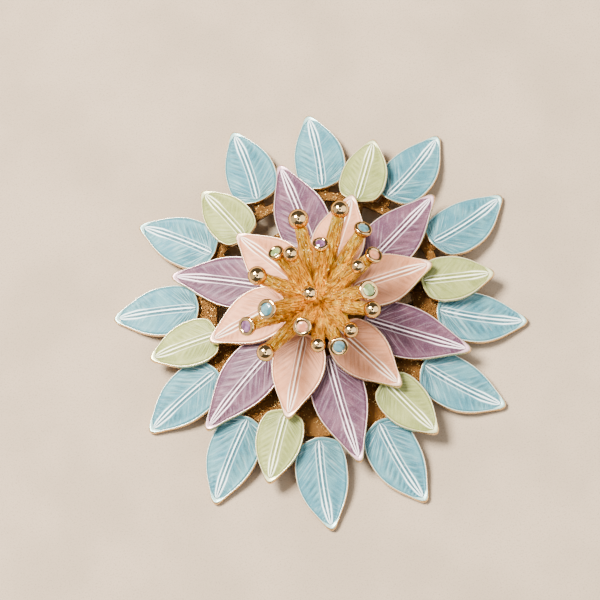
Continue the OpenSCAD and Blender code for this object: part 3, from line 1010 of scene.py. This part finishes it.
plateGold = plateMaterial()
rings = {}
for colourName, ring in petalRings.items():
    nodeNames = nodesNamed(colourName + "_enamel_")
    places = [petalPlace(ring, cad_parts[name]) for name in nodeNames]
    rings[colourName] = (ring, places)
    casting = castRing(colourName + "Casting", ring, places, rimMaterial(colourName + "RimGold", ring))
    standsFor(casting, "petal_gold", ring["layer"])
    enamel = enamelMaterial(colourName + "Enamel", ring)
    for k, (nodeName, place) in enumerate(zip(nodeNames, places)):
        petalName = colourName + "Enamel" + nodeName.split("_")[-1]
        petal = fillPetal(petalName, ring, place, enamel, k + len(colourName))
        standsFor(petal, colourName + "_enamel", nodeName)
    print("ring of petals:", colourName, len(places))

outerNecks = [makeNecks(name + "Necks", *rings[name], plateGold) for name in ("blue", "green")]
carrier = joinPieces([makePlate("plate", plateGold), *outerNecks], "backPlate")
standsFor(carrier, "petal_gold", "outer_layer")
for colourName in ("lilac", "peach"):
    necks = makeNecks(colourName + "Necks", *rings[colourName], plateGold)
    hub = joinPieces([makeHub("disc", hubSizes[colourName], plateGold), necks], colourName + "Hub")
    standsFor(hub, "petal_gold", colourName + "_layer")
print("plate, hubs and necks made")


# Stamens

stamens = [  # place in degrees, reach, height, head, diameter of the head
    (11, 10.3, 17.5, "peach", 2.7), (34, 11.6, 17.5, "aqua", 2.8), (56, 12.4, 17.5, "ball", 2.8),
    (87, 10.6, 17.5, "ball", 3.1), (122, 7.8, 17.5, "green", 2.5), (154, 8.5, 17.5, "ball", 2.9),
    (197, 11.8, 17.5, "lilac", 2.9), (221, 12.5, 17.5, "ball", 2.7), (260, 9.4, 17.5, "ball", 2.3),
    (277, 10.5, 17.5, "aqua", 2.9), (293, 9.2, 17.5, "ball", 2.4), (320, 9.8, 17.5, "ball", 2.6),
    (4, 7.2, 18.5, "ball", 2.2), (64, 6.3, 18.5, "lilac", 2.4), (110, 5.6, 18.5, "ball", 2.4),
    (195, 7.9, 18.5, "aqua", 3.1), (243, 7, 18.5, "peach", 2.8), (336, 8.6, 18.5, "green", 3),
    (229, 1.2, 16.5, "ball", 2.5),
]

stemSizes = {
    "rootShare": 0.26,    # of the head's reach
    "rootHeight": 11.01, "rootRadius": 1.6, "headRadius": 0.95, "steps": 44, "sides": 28,
    "barkDepth": 0.14, "barkGrain": 0.38, "barkStretch": 0.3, "seed": 2.0, "seedStep": 7.3,
    "cupHeight": 1.3, "cupShare": 0.8,
    "cupUp": 0.45,        # heads turn upwards from their stem's way by this
}

domeSizes = {
    "low": 9.65, "height": 2.6, "radius": 5.4, "topShare": 0.62, "sides": 160, "rings": 60,
    "wallShare": 0.8,     # share of the rings on the wall; the rest close the top
    "crownShare": 0.2,
    "wallCurve": 1.3,
    "barkRound": 3.0,     # the bark's noise is read on a roll of this radius
    "barkRise": 1.2, "barkSpread": 0.12, "barkScale": 1.7, "fractal": (0.7, 2.1, 4),
    "dipDepth": 0.35,     # clefts lower the bark by this
    "dipShare": 0.07,     # and draw the side in by this share
    "foot": 0.02,         # the lowest share of the wall stays level
    "fibreStretch": 0.3,
}

postProfile = [(0.01, 2.8), (1.4, 2.8), (1.5, 2.9), (1.5, 10.0), (0.01, 10.0)]  # radius and height


def polar(place, reach, height):
    return Vector((*around(reach, math.radians(place)), height))


def stamenLine(row):
    head = polar(*row[:3])
    root = polar(row[0], row[1] * stemSizes["rootShare"], stemSizes["rootHeight"])
    way = (head - root).normalized()
    headWay = (way + Vector((0, 0, stemSizes["cupUp"]))).normalized()
    return root, head, way, headWay


def barkTubes(tree, inside):
    paths = addNode(tree, "GeometryNodeMeshToCurve", {"Mesh": inside["Geometry"]}).outputs[0]
    even = addNode(tree, "GeometryNodeResampleCurve", {"Curve": paths, "Count": inside["Steps"]}).outputs[0]
    along = addNode(tree, "GeometryNodeSplineParameter").outputs
    circle = {"Resolution": inside["Sides"], "Radius": 1.0}
    ring = addNode(tree, "GeometryNodeCurvePrimitiveCircle", circle).outputs[0]
    taper = addNode(tree, "ShaderNodeMapRange", {
        "Value": calc(tree, "POWER", along["Factor"], 0.7),
        "To Min": inside["Root radius"], "To Max": inside["Head radius"],
    })
    return addNode(tree, "GeometryNodeCurveToMesh", {
        "Curve": storeAttribute(tree, even, "stemAt", along["Length"]),
        "Profile Curve": storeAttribute(tree, ring, "stemTurn", along["Factor"]),
        "Scale": taper.outputs[0], "Fill Caps": True,
    }).outputs[0]


def barkTree():
    tree, inside, out = geometryGroup("barkStems", {
        "Root radius": 0.0016, "Head radius": 0.00095, "Steps": 44, "Sides": 28,
        "Bark depth": 0.0003, "Bark grain": 0.00055, "Bark stretch": 0.3, "Seed": 0.0,
    })
    tubes = barkTubes(tree, inside)
    stemAt, stemTurn, stemSeed = readAttributes(tree, "stemAt", "stemTurn", "stemSeed")
    angle = times(tree, stemTurn, fullTurn)
    x, y = (times(tree, calc(tree, part, angle), inside["Head radius"]) for part in ("COSINE", "SINE"))
    barkPlace = asVector(tree, x, y, times(tree, stemAt, inside["Bark stretch"]))
    parts = {0: scaled(tree, barkPlace, 1 / mm), 1: asVector(tree, z=stemSeed)}
    fibrePlace = addNode(tree, "ShaderNodeVectorMath", parts, operation="ADD").outputs[0]
    scale = calc(tree, "DIVIDE", 1.0, inside["Bark grain"])
    seed = plus(tree, inside["Seed"], stemSeed)
    low = ramp(tree, noiseValue(tree, barkPlace, scale, 3.0, Roughness=0.6, W=seed), 0.38, 0.62, 1.0, 0.0)
    depth = times(tree, low, inside["Bark depth"])
    normal = addNode(tree, "GeometryNodeInputNormal").outputs[0]
    moved = shiftBy(tree, tubes, scaled(tree, normal, times(tree, depth, -1.0)))
    # this marks the dips, where shade is painted into the bark's colour
    marked = storeAttribute(tree, moved, "barkLow", low)
    marked = storeAttribute(tree, marked, "barkPlace", fibrePlace, "FLOAT_VECTOR")
    return closeTree(tree, smoothed(tree, marked), inside, out)


def makeStems(name, material):
    sizes = stemSizes
    points, edges, seeds = [], [], []
    for k, row in enumerate(stamens):
        root, head, way, _ = stamenLine(row)
        end = head if row[3] == "ball" else head - way * sizes["cupHeight"] * sizes["cupShare"]
        points += [root, end]
        edges.append((2 * k, 2 * k + 1))
        seeds += [sizes["seedStep"] * k] * 2
    piece = makePiece(name, [tuple(p) for p in points], [], edges=edges, floats={"stemSeed": seeds})
    return runNodes(piece, barkTree(), {
        "Root radius": sizes["rootRadius"] * mm, "Head radius": sizes["headRadius"] * mm,
        "Steps": sizes["steps"], "Sides": sizes["sides"], "Bark depth": sizes["barkDepth"] * mm,
        "Bark grain": sizes["barkGrain"] * mm, "Bark stretch": sizes["barkStretch"],
        "Seed": sizes["seed"], "Material": material,
    })


def makeDome(name, material):
    dome = domeSizes
    sides, rings, wall = dome["sides"], dome["rings"], dome["wallShare"]
    points, low, fibres = [], [], []
    for j in range(rings + 1):
        t = j / rings
        share = min(t / wall, 1)
        radius = dome["radius"] * (1 - (1 - dome["topShare"]) * share ** dome["wallCurve"])
        z = dome["low"] + dome["height"] * share
        if t > wall:
            radius *= 1 - (t - wall) / dome["crownShare"]
        barkUp = (1 - share) * dome["barkRise"] + radius * dome["barkSpread"]
        for k in range(sides):
            angle = fullTurn * k / sides
            plan = around(dome["barkRound"], angle)
            rough = noise.fractal(Vector((*plan, barkUp)) * dome["barkScale"], *dome["fractal"])
            dip = min(max(0.5 - rough, 0), 1)
            height = z - dome["dipDepth"] * dip * (share > dome["foot"])
            points.append((*around(radius * (1 - dome["dipShare"] * dip), angle), height))
            low.append(dip)
            fibres.append((*plan, dome["fibreStretch"] * (radius - z)))
    faces = loopFaces(rings + 1, sides)
    faces.append(tuple(range(sides)))
    piece = makePiece(name, points, faces, material, floats={"barkLow": low}, vectors={"barkPlace": fibres})
    closeUp(piece, smoothBelow=60)
    return piece


def setterTree():
    tree, inside, out = geometryGroup("headSetter", {"Shape": None})
    shape = addNode(tree, "GeometryNodeObjectInfo", {"Object": inside["Shape"]}).outputs["Geometry"]
    way = readAttribute(tree, "way", "FLOAT_VECTOR")
    turned = addNode(tree, "FunctionNodeAlignRotationToVector", {"Vector": way}, axis="Z").outputs[0]
    placed = addNode(tree, "GeometryNodeInstanceOnPoints", {
        "Points": inside["Geometry"], "Instance": shape, "Rotation": turned,
        "Scale": readAttribute(tree, "stretch", "FLOAT_VECTOR"),
    }).outputs[0]
    return closeTree(tree, placed, inside, out)


headSetter = setterTree()


def setOnHeads(name, shape, rows, stretches, material):
    lines = [stamenLine(row) for row in rows]
    vectors = {"way": [line[3] for line in lines], "stretch": stretches}
    piece = makePiece(name, [tuple(line[1]) for line in lines], [], vectors=vectors)
    return runNodes(piece, headSetter, {"Shape": shape, "Material": material})


bezelProfile = [  # share of the rim's radius, height over the rim in millimetres
    (0, -1.3), (0.6, -1.3), (0.68, -1.26), (0.8, -1.02), (0.92, -0.72), (0.985, -0.52), (1, -0.4),
    (1, -0.14), (0.975, -0.055), (0.93, 0.0), (0.87, 0.03), (0.79, 0.04), (0.71, 0.03), (0.65, 0.0),
    (0.61, -0.04), (0.69, -0.09), (0.695, -0.72), (0, -0.72),
]
stoneCut = {
    "share": 0.66,        # of the cup's radius, less the gap
    "gap": 0.025,
    "rows": [             # corners, share of the radius, height, turn in steps
        (8, 0.58, 0.06, 0), (8, 0.82, 0.0, 0.5), (16, 1.0, -0.12, 0), (16, 1.0, -0.22, 0),
        (8, 0.52, -0.46, 0.5), (1, 0.0, -0.68, 0),
    ],
}


def makeBallShape(name):
    work = bmesh.new()
    bmesh.ops.create_uvsphere(work, u_segments=40, v_segments=24, radius=1.0)
    loose = meshFrom(work, name + "Loose")  # its faces come in another order each run
    faces = sorted(tuple(face.vertices) for face in loose.polygons)
    mesh = bpy.data.meshes.new(name)
    mesh.from_pydata([vertex.co for vertex in loose.vertices], [], faces)
    mesh.shade_smooth()
    bpy.data.meshes.remove(loose)
    return bpy.data.objects.new(name, mesh)


def makeStoneShape(name):
    work = bmesh.new()
    for count, radius, height, shift in stoneCut["rows"]:
        for k in range(count):
            work.verts.new((*around(radius, fullTurn * (k + shift) / count), height))
    bmesh.ops.convex_hull(work, input=work.verts)
    bmesh.ops.recalc_face_normals(work, faces=work.faces)
    return bpy.data.objects.new(name, meshFrom(work, name))


barkGold = barkMaterial()
polishedGold = polishedMaterial()
stems = joinPieces([
    makeStems("stems", barkGold),
    makeDome("dome", barkGold),
    latheSolid("post", postProfile, barkGold, 32),
], "stamenStems")
standsFor(stems, "stamen_gold", "stamen_cluster")

ballRows = [row for row in stamens if row[3] == "ball"]
ballShape = makeBallShape("ballShape")
ballSizes = [(row[4] / 2 * mm,) * 3 for row in ballRows]
balls = setOnHeads("stamenBalls", ballShape, ballRows, ballSizes, polishedGold)
standsFor(balls, "stamen_gold", "stamen_cluster")

cupRows = [row for row in stamens if row[3] != "ball"]
cupShape = latheSolid("cupShape", [(radius / mm, z / mm) for radius, z in bezelProfile], polishedGold, 48)
cupSizes = [(row[4] / 2 * mm, row[4] / 2 * mm, mm) for row in cupRows]
cups = setOnHeads("stamenCups", cupShape, cupRows, cupSizes, polishedGold)
standsFor(cups, "stamen_gold", "stamen_cluster")
print("stamens made")

stoneLooks = {  # body and glow of the milky stones
    "aqua": ((0.042, 0.14, 0.165), (0.15, 0.30, 0.34)),
    "green": ((0.15, 0.22, 0.065), (0.38, 0.47, 0.21)),
    "lilac": ((0.10, 0.035, 0.09), (0.28, 0.14, 0.26)),
    "peach": ((0.52, 0.17, 0.08), (0.74, 0.34, 0.19)),
}
stoneShape = makeStoneShape("stoneShape")
for colourName, (body, glow) in stoneLooks.items():
    rows = [row for row in stamens if row[3] == colourName]
    radii = [(row[4] / 2 * stoneCut["share"] - stoneCut["gap"]) * mm for row in rows]
    material = stoneMaterial(colourName + "Stone", body, glow)
    stones = setOnHeads(colourName + "Stones", stoneShape, rows, [(r, r, mm) for r in radii], material)
    standsFor(stones, colourName + "_stone", *nodesNamed(colourName + "_stone_"))
for shape in (ballShape, cupShape, stoneShape):
    bpy.data.objects.remove(shape)
print("stones set")

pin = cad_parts["pin_finding"]
pin.data.materials.clear()
pin.data.materials.append(pinMaterial())


# Floor and light

floorLook = {
    "size": 8.0,  # metres
    "patches": ((0.335, 0.26, 0.185), (0.385, 0.30, 0.215)),
    "grains": (0.19, 0.145, 0.10),
}


def makeFloor():
    half = floorLook["size"] / 2 / mm
    corners = [(-half, -half, 0), (half, -half, 0), (half, half, 0), (-half, half, 0)]
    material, tree, shader = newMaterial("paleFloor", Specular_IOR_Level=0.25)
    grain = useGroup(tree, fineGrain, Grain_size=0.22, Patch_size=16.0)
    base = mixColour(tree, ramp(tree, grain["Patches"], 0.35, 0.65), *floorLook["patches"])
    base = mixColour(tree, ramp(tree, grain["Grain"], 0.5, 0.75, 0.0, 0.6), base, floorLook["grains"])
    wire(tree, shader, Base_Color=base, Roughness=ramp(tree, grain["Grain"], 0.0, 1.0, 0.75, 0.95))
    makePiece("floor", corners, [(0, 1, 2, 3)], material)


studio = {  # softboxes: way in the picture, elevation in degrees, distance and size in metres, watts, colour
    "keyLight": (-1.0, 0.55, 62, 0.9, 0.36, 45.0, (1.0, 0.95, 0.87)),
    "leftPanel": (-1.0, -0.2, 32, 1.0, 1.3, 3.2, (1.0, 0.96, 0.9)),
    "rightPanel": (1.0, -0.1, 36, 1.0, 1.3, 9.5, (1.0, 0.97, 0.93)),
    "overhead": (0.5, -0.85, 50, 0.9, 0.22, 1.0, (1.0, 1.0, 1.0)),
}
ringLight = {"radius": 0.15, "lamps": 12, "size": 0.07, "power": 0.05}  # round the camera: metres, watts
worldLight = {"tint": (1.0, 0.96, 0.90), "strength": 0.12}


def addDisc(name, place, size, power, tint):
    data = bpy.data.lights.new(name, "AREA")
    data.shape = "DISK"
    data.size = size
    data.energy = power
    data.color = tint
    light = addObject(name, data)
    light.location = place
    light.rotation_euler = (-place).to_track_quat("-Z", "Y").to_euler()


def addSoftbox(name, right, up, elevation, distance, size, power, tint):
    _, rightWay, upWay = viewAxes(photoView)
    plan = rightWay * right + upWay * up
    plan.z = 0
    plan.normalize()
    high = math.radians(elevation)
    place = plan * math.cos(high) * distance + Vector((0, 0, math.sin(high) * distance))
    addDisc(name, place, size, power, tint)


def addRingLight(ring):
    toCamera, rightWay, upWay = viewAxes(photoView)
    middle = toCamera * photoView["distance"] * mm
    for k in range(ring["lamps"]):
        angle = fullTurn * k / ring["lamps"]
        offset = (rightWay * math.cos(angle) + upWay * math.sin(angle)) * ring["radius"]
        addDisc("ringLamp%02d" % (k + 1), middle + offset, ring["size"], ring["power"], (1.0, 1.0, 1.0))


def setWorld():
    world = bpy.data.worlds.new("studioWorld")
    world.use_nodes = True
    background = world.node_tree.nodes["Background"]
    setSocket(world.node_tree, background.inputs[0], worldLight["tint"])
    setSocket(world.node_tree, background.inputs[1], worldLight["strength"])
    bpy.context.scene.world = world


makeFloor()
for name, values in studio.items():
    addSoftbox(name, *values)
addRingLight(ringLight)
setWorld()
print("floor and light set")
